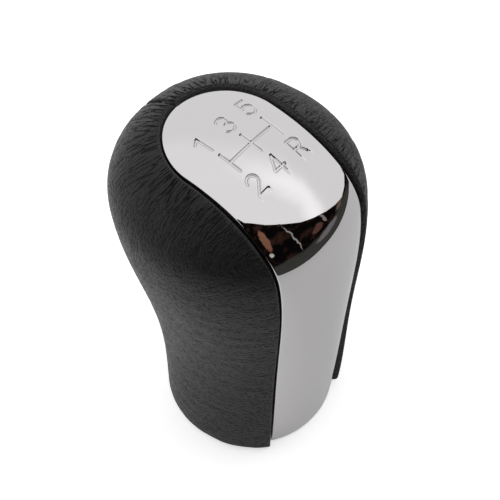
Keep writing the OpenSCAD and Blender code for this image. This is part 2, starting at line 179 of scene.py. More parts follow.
class LeatherTrim(PropertyGroup):
    """The leather's folds, creases, grain and colour."""

    thickness: length("Thickness", "Thickness of the leather", 1.3)
    reveal: length("Reveal", "Gap between the plated cover and the rolled edge", 0.43)
    tip_closing: length("Tip closing", "How much closer the rolled edge lies at the plate's front tip", 0.4)
    roll_radius: length("Roll radius", "Radius of the rolled edge beside the cover", 0.42)
    fold_depth: length("Fold depth", "Depth to which the edges are folded in", 3.4)
    seam_gap: length("Seam gap", "Gap between the panels at the front seam", 0.05)
    seam_radius: length("Seam radius", "Radius at which a panel turns into the seam", 1.2)
    hem_radius: length("Hem radius", "Radius round the bottom edge", 1)
    hem_width: length("Hem width", "Width of the hem under the core", 3)
    crease_depth: length("Crease depth", "Depth of the creases that run out from the cover's edge", 0.6)
    crease_reach_left: length("Crease reach, left", "Distance over which the left creases die out", 4.5)
    crease_reach_right: length("Crease reach, right", "Distance over which the right creases die out", 1.3)
    cut_width: length("Cut width", "Widest part of a panel's flat cut, with both folds", 74)
    cut_length: length("Cut length", "Longest part of a panel's flat cut, with the hem", 121)
    cut_area: number("Cut area", "Area of a panel's flat cut, in square metres", 0.00485)
    grain_depth: length("Grain depth", "Depth of the valleys between the ridges of the grain", 0.09)
    wrinkle_depth: length("Wrinkle depth", "Depth of the broad wrinkles in the mesh", 0.08)
    # Painted highlight: a paler colour on the rolled edge beside the cover.
    roll_highlight_colour: colour("Worn dye", "Colour of the leather on the roll beside the cover", (0.03, 0.0288, 0.028))
    dye: colour("Dye", "Colour of the leather", (0.006, 0.0056, 0.0055))


class InsertTrim(PropertyGroup):
    """The threaded insert: sizes of its thread, its hexagon and its grooves."""

    mouth: length("Mouth", "Height of the insert's mouth", 1.6)
    length: length("Length", "Length of the insert", 25)
    radius: length("Radius", "Radius of the insert", 7.4)
    core_radius: length("Core radius", "Radius of the thread's crests", 5.35)
    outer_radius: length("Outer radius", "Radius of the thread's roots", 6)
    pitch: length("Pitch", "Pitch of the thread", 1.25)
    depth: length("Depth", "Depth of the threaded hole", 22)
    flats: length("Flats", "Size across the hexagon's flats", 14.6)
    hex_length: length("Hexagon length", "Length of the hexagon at the mouth", 6)
    groove_depth: length("Groove depth", "Depth of the two grooves", 0.9)
    groove_width: length("Groove width", "Width of the two grooves", 3)
    chamfer: length("Chamfer", "Chamfer of the outer edges", 0.3)


class StageLook(PropertyGroup):
    """Camera and light."""

    aim: lengths("Aim", "Point at the centre of the picture", (3.13, 4.8, 41.38))
    azimuth: degrees("Azimuth", "Turn of the view round the vertical, from straight along +Y", -51.72)
    elevation: degrees("Elevation", "Height of the view above the horizontal", 54.11)
    roll: degrees("Roll", "Turn of the picture", 2.08)
    distance: length("Distance", "Distance of the camera from the aim", 520.3)
    focal_length: number("Focal length", "Focal length in millimetres", 178.54)
    sky: number("Sky", "Strength of the light from the near side of the sky", 1.12)
    horizon: number("Far sky", "Strength of the light from the far side of the sky", 1.02)
    window: number("Streak", "Further strength of the bright streak across the sky", 0.3)


# Form of the knob


def signed_power(value, exponent):
    """Power that keeps the sign."""
    return np.sign(value) * np.abs(value) ** exponent


def curve(t, values):
    """Quintic Bezier curve through its first and last value, pulled by the four between."""
    return sum(math.comb(5, k) * t**k * (1 - t) ** (5 - k) * value for k, value in enumerate(values))


def to_head(radii):
    """Six curve values from five radii. The last is repeated, so the curve arrives upright at the head."""
    return [*radii, radii[-1]]


def centre_line(form, z):
    """Forward offset of the centre line at height z, a parabola that starts on the thread axis."""
    t = z / form.height
    return 2 * t * (1 - t) * form.lean_mid + t * t * form.lean_top


def skin(form, place, depth):
    """Points of the form at a place, sunk by depth.

    A place is a section angle (0 at the side, a quarter turn in front), a level up to the head's widest one,
    and a latitude over the dome. Each section is a superellipse whose radii run along the stem's curves, and
    the dome shrinks it by a power of the latitude's cosine while it rises by the same power of its sine.
    """
    angle, level, latitude = place
    power = 2 / form.squareness
    shrink = signed_power(np.cos(latitude), power)
    rise = signed_power(np.sin(latitude), power)
    t = level / form.head_level
    dome = form.height - form.head_level
    front, rear = curve(t, to_head(form.front_radii)), curve(t, to_head(form.rear_radii))
    side = curve(t, to_head(form.side_radii)) - depth
    ends = np.where(np.sin(angle) >= 0, front, rear) - depth
    x = side * shrink * signed_power(np.cos(angle), power)
    y = centre_line(form, level + dome * rise) + ends * shrink * signed_power(np.sin(angle), power)
    z = level + (dome - depth) * rise
    return np.stack(np.broadcast_arrays(x, y, z), axis=-1)


def beside(form, x, level, latitude):
    """Section angle at the distance x to the side of the middle plane."""
    shrink = signed_power(np.cos(latitude), 2 / form.squareness)
    radius = curve(level / form.head_level, to_head(form.side_radii)) * shrink
    return np.arccos(np.minimum(x / radius, 1) ** (form.squareness / 2))


def cover_rows(form, cover, tip, dome, stem):
    """Rows across the cover: tip angles from its front point, then dome angles, then heights down the strip.

    On the tip rows a superellipse gives the outline: the dome angle runs with the cosine of the tip angle
    and the half width with a power of its sine. Behind it the half width is a curve of the distance along
    the middle line. The share of a row runs from 0 at the front point to 1 at the head's widest level.
    """
    widest = math.pi - cover.full_angle
    head_radius = (form.rear_radii[4] + form.height - form.head_level) / 2
    shoulder = widest * head_radius
    past_tip = dome - cover.full_angle
    plain, flat = np.ones(len(dome)), np.ones(len(stem))
    along = np.concatenate([0 * tip, past_tip * head_radius, shoulder + form.head_level - stem])
    widths = [cover.half_width, cover.half_width, *cover.strip_half_widths]
    column = {
        "tip_cos": np.concatenate([np.cos(tip), 0 * plain, 0 * flat]),
        "tip_sin": np.concatenate([np.sin(tip), plain, flat]),
        "phi": np.concatenate([np.full(len(tip), cover.full_angle), dome, math.pi * flat]),
        "level": np.concatenate([np.full(len(tip) + len(dome), form.head_level), stem]),
        "width": curve(along / (shoulder + form.head_level), widths),
        "share": np.concatenate([
            TIP_SHARE * tip / QUARTER, TIP_SHARE + (1 - TIP_SHARE) * past_tip / widest, flat
        ]),
    }
    rows = SimpleNamespace(**{name: values[:, None] for name, values in column.items()})
    rows.turn = 1 / math.hypot(
        form.front_radii[4] * math.sin(cover.tip_angle),
        (form.height - form.head_level) * math.cos(cover.tip_angle),
    )
    return rows


def rows_to_hem(form, cover, tip, dome, counts, radius, hem_end):
    """Rows of a piece from the front tip to the table, and each row's depth below the piece's face.

    The last rows turn under the bottom edge with the radius and run in to the depth of the hem's end. The
    counts are of the rows down the stem, round the bottom edge and in the hem.
    """
    in_stem, in_turn, in_hem = counts
    stem = np.linspace(form.head_level, HEM_LEVEL + radius, in_stem)[1:]
    down = np.linspace(0, QUARTER, in_turn)[1:]
    under = np.linspace(radius, hem_end, in_hem)[1:]
    stem = np.concatenate([stem, HEM_LEVEL + radius * (1 - np.sin(down)), np.full(len(under), HEM_LEVEL)])
    rows = cover_rows(form, cover, tip, dome, stem)
    depth = np.zeros(len(rows.level))
    depth[-len(down) - len(under):] = np.concatenate([radius * (1 - np.cos(down)), under])
    return rows, depth[:, None]


def raised_rows(rows, level):
    """The same rows, none of them lower than a level."""
    raised = SimpleNamespace(**vars(rows))
    raised.level = np.maximum(rows.level, level)
    return raised


def on_cover(form, cover, rows, outset, share):
    """Place at a share of the half width of the cover's outline, grown by outset."""
    phi = rows.phi - (cover.full_angle - cover.tip_angle + outset * rows.turn) * rows.tip_cos
    x = share * (rows.width + outset) * rows.tip_sin ** (2 / cover.tip_squareness)
    p = form.squareness
    reach = (1 - (x / form.side_radii[4]) ** p) ** (1 / p)
    on_dome = rows.level >= form.head_level
    latitude = np.where(on_dome, np.arcsin(np.clip(reach ** (p / 2) * np.sin(phi), 0, 1)), 0)
    angle = beside(form, x, rows.level, latitude)
    return np.where(phi <= QUARTER, angle, -angle), rows.level + 0 * x, latitude


def quarter_round(radius, count):
    """Along and depth of a quarter circle that leaves a face and turns down, from the wall to the face."""
    t = np.linspace(0, QUARTER, count)
    return radius * (1 - np.cos(t)), radius * (1 - np.sin(t))


def both(depth_a, depth_b):
    """Depth where two rounded edges meet: the fourth-power mean, close to the deeper of the two."""
    return (np.abs(depth_a) ** 4 + np.abs(depth_b) ** 4) ** 0.25


# Meshes from grids of points


def grid_normals(points, centre):
    """Unit normals of a grid from the cross product of its two directions, turned away from a centre."""
    normal = np.cross(np.gradient(points, axis=0), np.gradient(points, axis=1))
    if (normal * (points - centre)).sum() < 0:
        normal = -normal
    return normal / np.maximum(np.linalg.norm(normal, axis=-1, keepdims=True), TINY)


def grid_quads(rows, columns, start=0):
    """Corner numbers of a grid's quads."""
    corner = start + (np.arange(rows - 1)[:, None] * columns + np.arange(columns - 1)).ravel()
    return np.stack([corner, corner + 1, corner + columns + 1, corner + columns], axis=1)


def zip_strip(a, b):
    """Triangles between two lines of points, each of which may have its own number of points."""
    k = np.round(np.linspace(0, len(b) - 1, len(a))).astype(int)
    j = np.arange(len(a) - 1)
    first = np.stack([a[j], a[j + 1], b[k[j]]], axis=1)
    second = np.stack([a[j + 1], b[k[j + 1]], b[k[j]]], axis=1)[k[1:] > k[:-1]]
    return np.concatenate([first, second])


def closed_sheet(outer, inner):
    """Points, quads and triangles of a solid sheet between two grids with the same number of rows."""
    rows, columns = outer.shape[:2]
    inner_columns = inner.shape[1]
    start = rows * columns
    out = np.arange(start).reshape(rows, columns)
    into = start + np.arange(rows * inner_columns).reshape(rows, inner_columns)
    sides = ((out[:, 0], into[:, 0]), (into[:, -1], out[:, -1]))
    walls = [np.stack([a[:-1], a[1:], b[1:], b[:-1]], axis=1) for a, b in sides]
    quads = np.concatenate([grid_quads(rows, columns), grid_quads(rows, inner_columns, start), *walls])
    triangles = np.concatenate([zip_strip(out[0], into[0]), zip_strip(out[-1], into[-1])])
    return np.concatenate([outer.reshape(-1, 3), inner.reshape(-1, 3)]), quads, triangles


def mesh_piece(name, points, quads, triangles, material, attributes=None):
    """Object with a smooth closed mesh: points that coincide are merged, and the normals point outwards."""
    mesh = bpy.data.meshes.new(name)
    corners = np.concatenate([quads.ravel(), triangles.ravel()]).astype(np.int32)
    sizes = np.repeat([4, 3], [len(quads), len(triangles)])
    mesh.vertices.add(len(points))
    mesh.vertices.foreach_set("co", points.astype(np.float32).ravel())
    mesh.loops.add(len(corners))
    mesh.loops.foreach_set("vertex_index", corners)
    mesh.polygons.add(len(sizes))
    mesh.polygons.foreach_set("loop_start", (np.cumsum(sizes) - sizes).astype(np.int32))
    mesh.polygons.foreach_set("use_smooth", np.ones(len(sizes), bool))
    for label, values in (attributes or {}).items():
        kind, field = ("FLOAT", "value") if values.ndim == 1 else ("FLOAT_VECTOR", "vector")
        made = mesh.attributes.new(label, kind, "POINT")
        made.data.foreach_set(field, values.astype(np.float32).ravel())
    mesh.update(calc_edges=True)
    work = bmesh.new()
    work.from_mesh(mesh)
    bmesh.ops.remove_doubles(work, verts=work.verts, dist=MERGE)
    bmesh.ops.dissolve_degenerate(work, edges=work.edges, dist=MERGE)
    bmesh.ops.recalc_face_normals(work, faces=work.faces)
    work.to_mesh(mesh)
    work.free()
    mesh.materials.append(material)
    piece = bpy.data.objects.new(name, mesh)
    bpy.context.scene.collection.objects.link(piece)
    return piece


def lattice(cell, seed):
    """Repeatable random numbers from 0 to 1 for whole-number cells, by mixing the bits of large products."""
    x, y, z = np.moveaxis(cell, -1, 0)
    mixed = x * 73856093 ^ y * 19349663 ^ z * 83492791 ^ seed * 2654435761
    mixed = (mixed ^ (mixed >> 13)) * 1274126177 & 0x7FFFFFFF
    mixed = (mixed ^ (mixed >> 16)) * 1103515245 & 0x7FFFFFFF
    return (mixed >> 7 & 0xFFFF) / 0xFFFF


def noise(points, size, seed):
    """Smooth value noise from 0 to 1 with features of the given size, blended between a cell's corners."""
    scaled = points / size
    cell = np.floor(scaled).astype(np.int64)
    t = scaled - cell
    t = t * t * (3 - 2 * t)
    total = 0
    for corner in np.ndindex(2, 2, 2):
        weight = np.prod(np.where(corner, t, 1 - t), axis=-1)
        total = total + weight * lattice(cell + corner, seed)
    return total


def streaks(points, along, size, reach, seed, samples=7):
    """Noise drawn out along a direction, up to reach on both sides, and brought back to full contrast."""
    steps = np.linspace(-reach, reach, samples)
    mean = sum(noise(points + along * step, size, seed) for step in steps) / samples
    return (mean - 0.5) * math.sqrt(min(samples, 1 + 2 * reach / size)) + 0.5


def smooth_step(low, high, value):
    """0 below low and 1 above high, with a smooth rise between."""
    t = np.clip((value - low) / (high - low), 0, 1)
    return t * t * (3 - 2 * t)


# Pattern of the gears


def arc(x, y, rx, ry, start, end, count=12):
    """Points of an ellipse's arc, with its angles in degrees."""
    t = np.radians(np.linspace(start, end, count))
    return [(x + rx * c, y + ry * s) for c, s in zip(np.cos(t), np.sin(t))]


def glyphs():
    """Strokes of each digit and the letter, one digit height tall and centred."""
    return {
        "1": [[(-0.3, 0.3), (0, 0.5), (0, -0.5)]],
        "2": [arc(0, 0.2, 0.3, 0.3, 170, -30) + [(-0.32, -0.5), (0.32, -0.5)]],
        "3": [arc(-0.02, 0.25, 0.27, 0.25, 150, -90) + arc(-0.02, -0.25, 0.31, 0.25, 90, -150)],
        "4": [[(0.14, -0.5), (0.14, 0.5), (-0.34, -0.2), (0.34, -0.2)]],
        "5": [[(0.28, 0.5), (-0.2, 0.5), (-0.26, 0.04)] + arc(0, -0.17, 0.32, 0.33, 145, -150)],
        "R": [
            [(-0.3, -0.5), (-0.3, 0.5)],
            [(-0.3, 0.5), (0.05, 0.5)] + arc(0.05, 0.24, 0.26, 0.26, 90, -90) + [(-0.3, -0.02)],
            [(0.02, -0.02), (0.34, -0.5)],
        ],
    }


def pattern_strokes(pattern):
    """Ends of all the straight stretches of the pattern on the plate, as two arrays of points."""
    cx, cy = pattern.centre
    half, away = pattern.line_length / 2, pattern.line_length / 2 + pattern.digit_offset
    strokes = [[(cx - pattern.spacing, cy), (cx + pattern.spacing, cy)]]
    for column, pair in enumerate(("12", "34", "5R")):
        x = cx + (column - 1) * pattern.spacing
        strokes.append([(x, cy - half), (x, cy + half)])
        for label, side in zip(pair, (1, -1)):
            for stroke in glyphs()[label]:
                place = np.array([x, cy + side * away])
                strokes.append(place + pattern.digit_height * np.array(stroke))
    starts = np.concatenate([np.asarray(stroke)[:-1] for stroke in strokes])
    ends = np.concatenate([np.asarray(stroke)[1:] for stroke in strokes])
    return starts, ends


def cut_depth(pattern, x, y):
    """Depth of the cut at plan positions: flat inside the strokes, with a smooth wall at their sides."""
    nearest = np.full(x.shape, 1.0)
    for a, b in zip(*pattern_strokes(pattern)):
        run = b - a
        t = np.clip(((x - a[0]) * run[0] + (y - a[1]) * run[1]) / max(run @ run, TINY), 0, 1)
        nearest = np.minimum(nearest, np.hypot(x - a[0] - t * run[0], y - a[1] - t * run[1]))
    half = pattern.stroke / 2
    return pattern.depth * (1 - smooth_step(half - pattern.wall, half, nearest))


# Materials

# The range that most of a noise texture's values lie in.
NOISE_RANGE = (0.3, 0.7)
WHITE = (1, 1, 1, 1)


def feed(socket, value):
    """Link an input to another node's output, or set its value."""
    if isinstance(value, NodeSocket):
        socket.id_data.links.new(value, socket)
    else:
        socket.default_value = value


def fill(made, *values, **settings):
    """Set a node's options and inputs by name, in the given order, and then its first inputs by place."""
    for name, value in settings.items():
        label = name.replace("_", " ")
        if label in made.inputs:
            feed(made.inputs[label], value)
        else:
            setattr(made, name, value)
    for socket, value in zip(made.inputs, values):
        feed(socket, value)


def node(near, kind, *values, **settings):
    """New shader node in the tree of another node or socket, filled with values."""
    made = near.id_data.nodes.new("ShaderNode" + kind)
    fill(made, *values, **settings)
    return made


def maths(operation, *values):
    """Socket with the result of an operation on sockets and numbers."""
    near = next(value for value in values if isinstance(value, NodeSocket))
    return node(near, "Math", *values, operation=operation).outputs[0]


add = partial(maths, "ADD")
subtract = partial(maths, "SUBTRACT")
multiply = partial(maths, "MULTIPLY")


def vector_maths(operation, *values):
    """Outputs of an operation on vectors, the first of which is a socket."""
    return node(values[0], "VectorMath", *values, operation=operation).outputs


def moved(place, direction, size):
    """Socket with a place moved along a direction or a coloured noise, times a size."""
    return vector_maths("MULTIPLY_ADD", direction, [size] * 3, place)[0]


def ramp(source, low, high, out_low, out_high):
    """Socket that carries a value from one range smoothly to another."""
    ends = (low, high, out_low, out_high)
    return node(source, "MapRange", source, *ends, interpolation_type="SMOOTHSTEP").outputs["Result"]


def blend(factor, low, high):
    """Socket with a colour between two by factor, each of them a socket or three numbers."""
    low, high = (end if isinstance(end, NodeSocket) else (*end, 1) for end in (low, high))
    return node(factor, "Mix", data_type="RGBA", Factor=factor, A=low, B=high).outputs["Result"]


def tinted(base, share):
    """A colour times a share."""
    return tuple(channel * share for channel in base)


def bump(height, distance, **settings):
    """Normal socket of a bump of the given height in metres."""
    return node(height, "Bump", Height=height, Distance=distance, **settings).outputs["Normal"]


def texture(place, scale, detail, output="Fac", **settings):
    """Socket of a noise texture at a place."""
    return node(place, "TexNoise", Vector=place, Scale=scale, Detail=detail, **settings).outputs[output]


def new_material(name):
    """Material, the socket of its object coordinates, and the shader that it ends in."""
    material = bpy.data.materials.new(name)
    material.use_nodes = True
    shader = material.node_tree.nodes["Principled BSDF"]
    return material, node(shader, "TexCoord").outputs["Object"], shader


def plating_material(cover):
    """Mirror plating with faint polishing haze and the slight waviness of a plated moulding."""
    material, place, shader = new_material("bright_plating")
    haze = texture(place, 160, 3)
    fill(
        shader,
        Metallic=1,
        Base_Color=blend(haze, tinted(cover.plating, 0.97), cover.plating),
        Roughness=ramp(haze, *NOISE_RANGE, cover.roughness * 0.7, cover.roughness * 1.6),
        Normal=bump(texture(place, 70, 1), 0.03 * MM),
    )
    return material


def drawn_noise(place, along, scale, reach, samples):
    """Socket with noise drawn out along a direction: the mean of samples up to reach on both sides."""
    steps = [float(share) * reach for share in np.linspace(-1, 1, samples)]
    total = reduce(add, [texture(moved(place, along, step), scale, 1, Roughness=0.4) for step in steps])
    return maths("DIVIDE", total, samples)


def leather_material(leather):
    """Dyed leather: ridges across the panel, close creases beside the cover, and pores, all as bumps; the
    colour adds painted shade in the creases and the grain's valleys and painted sheen on its ridges.

    A crease runs where its noise passes one value, so it is a thin line, and the mesh says how strong it is
    (edge), where the roll gets a painted highlight (roll) and where the leather goes down into the seam, which
    is painted black as shade (seam).
    """
    material, place, shader = new_material("black_leather")
    along, beside_edge = (
        node(place, "Attribute", attribute_name=name).outputs["Vector"] for name in ("along", "fold")
    )
    edge, rolled, seam_shade_mask = (
        node(place, "Attribute", attribute_name=name).outputs["Fac"] for name in ("edge", "roll", "seam")
    )
    sway = texture(place, 420, 1, "Color")
    ridges = drawn_noise(moved(place, sway, 1.1 * MM), along, 1900, 0.12 * MM, 2)
    folds = texture(moved(beside_edge, sway, 0.15 * MM), 1300, 1, Roughness=0.4)
    crease = ramp(maths("ABSOLUTE", subtract(folds, 0.46)), 0, 0.07, 0, 1)
    grain = multiply(ramp(ridges, 0.36, 0.55, 0, 1), ramp(edge, 0, 1, 1, 0.5))
    creased = multiply(crease, edge)
    height = add(multiply(grain, leather.grain_depth), multiply(creased, leather.crease_depth))
    # Painted light: the colour is lighter on the grain's ridges and darker in its valleys and along the
    # creases, as painted sheen and painted shade.
    lit = add(grain, multiply(subtract(crease, 0.5), edge))
    tone_and_painted_light = add(multiply(texture(place, 70, 3), 0.4), multiply(lit, 0.6))
    dye_with_painted_light = blend(tone_and_painted_light, tinted(leather.dye, 0.4), tinted(leather.dye, 1.35))
    sunk = multiply(subtract(1, crease), edge)
    # The base colour holds a painted highlight on the roll and painted shade, black, down in the seam.
    fill(
        shader,
        Base_Color=blend(seam_shade_mask, blend(rolled, dye_with_painted_light, leather.roll_highlight_colour), (0, 0, 0)),
        Roughness=add(ramp(tone_and_painted_light, 0, 1, 0.6, 0.4), multiply(maths("MAXIMUM", sunk, seam_shade_mask), 0.4)),
        Specular_IOR_Level=0.28,
        Normal=bump(height, 1, Normal=bump(texture(place, 4200, 2), 0.02 * MM)),
    )
    return material


def moulded_material(name, base, grain_scale, roughness):
    """Moulded plastic with a fine spark-eroded grain."""
    material, place, shader = new_material(name)
    grain = texture(place, grain_scale, 3)
    fill(
        shader,
        Base_Color=blend(grain, base, tinted(base, 1.3)),
        Roughness=ramp(grain, *NOISE_RANGE, roughness - 0.07, roughness + 0.07),
        Normal=bump(grain, 0.03 * MM),
    )
    return material


def brass_material():
    """Turned brass with fine rings round the axis and a little tarnish."""
    material, place, shader = new_material("turned_brass")
    rings = node(
        place, "TexWave", Vector=place, Scale=900, Distortion=0.6, wave_type="RINGS", rings_direction="Z"
    )
    tarnish = texture(place, 260, 4)
    fill(
        shader,
        Metallic=1,
        Base_Color=blend(tarnish, (0.62, 0.44, 0.17), (0.83, 0.66, 0.34)),
        Roughness=ramp(tarnish, *NOISE_RANGE, 0.22, 0.4),
        Normal=bump(rings.outputs["Fac"], 0.01 * MM),
    )
    return material


def thread_material():
    """Waxed polyester thread with a diagonal twist."""
    material, place, shader = new_material("twisted_thread")
    twist = node(place, "TexWave", Vector=place, Scale=1600, bands_direction="DIAGONAL").outputs["Fac"]
    fill(
        shader,
        Base_Color=blend(twist, (0.012, 0.012, 0.013), (0.04, 0.04, 0.042)),
        Roughness=0.6,
        Normal=bump(twist, 0.04 * MM),
    )
    return material


# Pieces


def finish_piece(piece, cad_node):
    """The piece rides on the knob and stands for a CAD node."""
    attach(piece, BODY)
    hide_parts(cad_node)


def cover_face(form, cover, rows, profile, shares, end_depth, meet):
    """Grid of points over the whole cover, between its two edges.

    The profile is of the left edge, from the rim's foot up to the face: outsets and depths. The face keeps
    its last ones and is divided by shares of the half width, and the right edge mirrors the left. Where an
    edge meets the foot, meet joins their depths. The face sinks further below the leather towards its foot.
    """
    outset, depth = (
        np.concatenate([edge, np.full(len(shares), edge[-1]), edge[::-1]]) for edge in profile
    )
    ones = np.ones(len(profile[0]))
    share = np.concatenate([ones, np.abs(shares), ones])
    side = np.concatenate([-ones, np.where(shares < 0, -1, 1), ones])
    below = meet(depth, end_depth)
    low = np.maximum(1 - rows.level / form.head_level, 0) ** 2
    sunk = cover.sink + below + cover.foot_sink * low * (1 - np.minimum(below / cover.rim_depth, 1))
    points = skin(form, on_cover(form, cover, rows, outset, share), sunk)
    points[..., 0] *= side
    return points


class KNOB_OT_cover(Operator):
    """Build the plated cover, with the pattern of the gears cut into its top"""

    bl_idname = "knob.cover"
    bl_label = "Plated cover"

    def execute(self, context):
        scene = context.scene
        form, cover, pattern = scene.knob_form, scene.knob_cover, scene.knob_pattern
        # The grid is close where the pattern lies: between these angles and shares of the half width.
        first, last = math.radians(58), math.radians(121)
        left, right = -0.56, 0.86
        tip = np.concatenate([np.linspace(0, first, 26), np.linspace(first, QUARTER, 122)[1:]])
        dome = np.concatenate([
            np.linspace(cover.full_angle, last, 176)[1:], np.linspace(last, HALF_TURN, 42)[1:]
        ])
        shares = np.concatenate([
            np.linspace(-1, left, 11)[1:-1], np.linspace(left, right, 192), np.linspace(right, 1, 5)[1:-1]
        ])
        radius = cover.edge_radius
        # Rows down the strip, round its foot and down the foot's rim.
        rows, end_depth = rows_to_hem(form, cover, tip, dome, (66, 8, 4), radius, cover.rim_depth)
        along, depth = quarter_round(radius, 8)
        rim = np.linspace(cover.rim_depth, radius, 4)[:-1]
        profile = np.concatenate([0 * rim, -along]), np.concatenate([rim, depth])
        outer = cover_face(form, cover, rows, profile, shares, end_depth, both)
        # The pattern is cut into the plate only, not into what lies under or behind it.
        plate_foot, plate_end = form.head_level + 8 * MM, -10 * MM
        cut = cut_depth(pattern, outer[..., 0], outer[..., 1])
        cut[(outer[..., 2] < plate_foot) | (outer[..., 1] < plate_end)] = 0
        outer = outer - grid_normals(outer, middle_of(form)) * cut[..., None]

        wall, thickness = cover.rim_thickness, cover.thickness
        profile = (
            np.array([-wall, -wall, -wall - SOFT]), np.array([cover.rim_depth, thickness + SOFT, thickness])
        )
        inner_end = thickness + end_depth * (cover.rim_depth - thickness) / cover.rim_depth
        inner = cover_face(
            form, cover, raised_rows(rows, HEM_LEVEL + wall), profile, np.linspace(-1, 1, 15)[1:-1],
            np.where(end_depth > 0, inner_end, 0), np.maximum,
        )
        piece = mesh_piece("cover_plated", *closed_sheet(outer, inner), plating_material(cover))
        finish_piece(piece, "chrome_cover")
        return {"FINISHED"}


def middle_of(form):
    """Point inside the form, at half its height on the thread axis."""
    return np.array([0, 0, form.height / 2])


def from_edge(points, edge, normal):
    """Distance of points from an edge line, the nearest place along it, and the direction away from it.

    The nearest place is the mean of the places along the edge, weighted with a bell curve of their distance.
    """
    run = np.concatenate([[0], np.cumsum(np.linalg.norm(np.diff(edge, axis=0), axis=-1))])
    even = np.linspace(0, run[-1], EDGE_SAMPLES)
    spots = np.stack([np.interp(even, run, edge[:, k]) for k in range(3)], axis=-1)
    flat = points.reshape(-1, 3)
    square = (flat**2).sum(-1)[:, None] + (spots**2).sum(-1) - 2 * flat @ spots.T
    nearest = square.min(axis=1, keepdims=True)
    weight = np.exp(-(square - nearest) / EDGE_BLUR**2)
    weight = weight / weight.sum(axis=1, keepdims=True)
    shape = points.shape[:2]
    away = points - (weight @ spots).reshape(points.shape)
    away = away - normal * (away * normal).sum(-1, keepdims=True)
    away = away / np.maximum(np.linalg.norm(away, axis=-1, keepdims=True), TINY)
    return np.sqrt(np.maximum(nearest, 0)).reshape(shape), (weight @ even).reshape(shape), away


def panel_face(form, cover, leather, rows, hem_depth, roll, seam, columns, base_depth):
    """Grid of the right panel's outer or inner face, from the rolled edge round to the front seam.

    The roll is a profile of outsets from the cover and depths, and the seam one of distances from the middle
    plane and depths. Between them the section angle runs evenly, and the level and the latitude follow it.
    """
    clearance = leather.reveal + leather.thickness + SEAM_START
    top = cover.tip_angle - clearance * rows.turn - SEAM_START_ANGLE
    front_latitude = np.where(rows.share < 1, top * (1 - rows.share), 0)
    closer = roll[0] - leather.tip_closing * np.sqrt(rows.tip_cos)
    rolled = on_cover(form, cover, rows, closer, np.ones(len(roll[0])))
    seam_angle = beside(form, seam[0], rows.level, front_latitude)
    seamed = [seam_angle, rows.level + 0 * seam[0], front_latitude + 0 * seam[0]]
    f = np.linspace(0, 1, columns)[1:-1]
    start = [part[:, -1:] for part in rolled]
    end = [part[:, :1] for part in seamed]
    angle = start[0] + (end[0] - start[0]) * f
    share = (np.sin(angle) - np.sin(start[0])) / (np.sin(end[0]) - np.sin(start[0]))
    share = np.where(end[0] - start[0] > NARROW, share, f)
    middle = [angle, *(a + (b - a) * share for a, b in zip(start[1:], end[1:]))]
    place = [np.concatenate(parts, axis=1) for parts in zip(rolled, middle, seamed)]
    edge = np.concatenate([roll[1] - base_depth, np.zeros(columns - 2), seam[1] - base_depth])
    plain = skin(form, place, 0)
    half_gap, radius = leather.seam_gap / 2, leather.seam_radius
    near = np.clip(1 - (plain[..., 0] - half_gap) / radius, 0, 1)
    valley = np.where(place[0] > 0, radius * (1 - np.sqrt(1 - near**2)), 0)
    points = skin(form, place, base_depth + both(both(edge, hem_depth), valley))
    points[..., 0] = np.maximum(points[..., 0], half_gap)
    points[0, :, 0] = half_gap
    return points


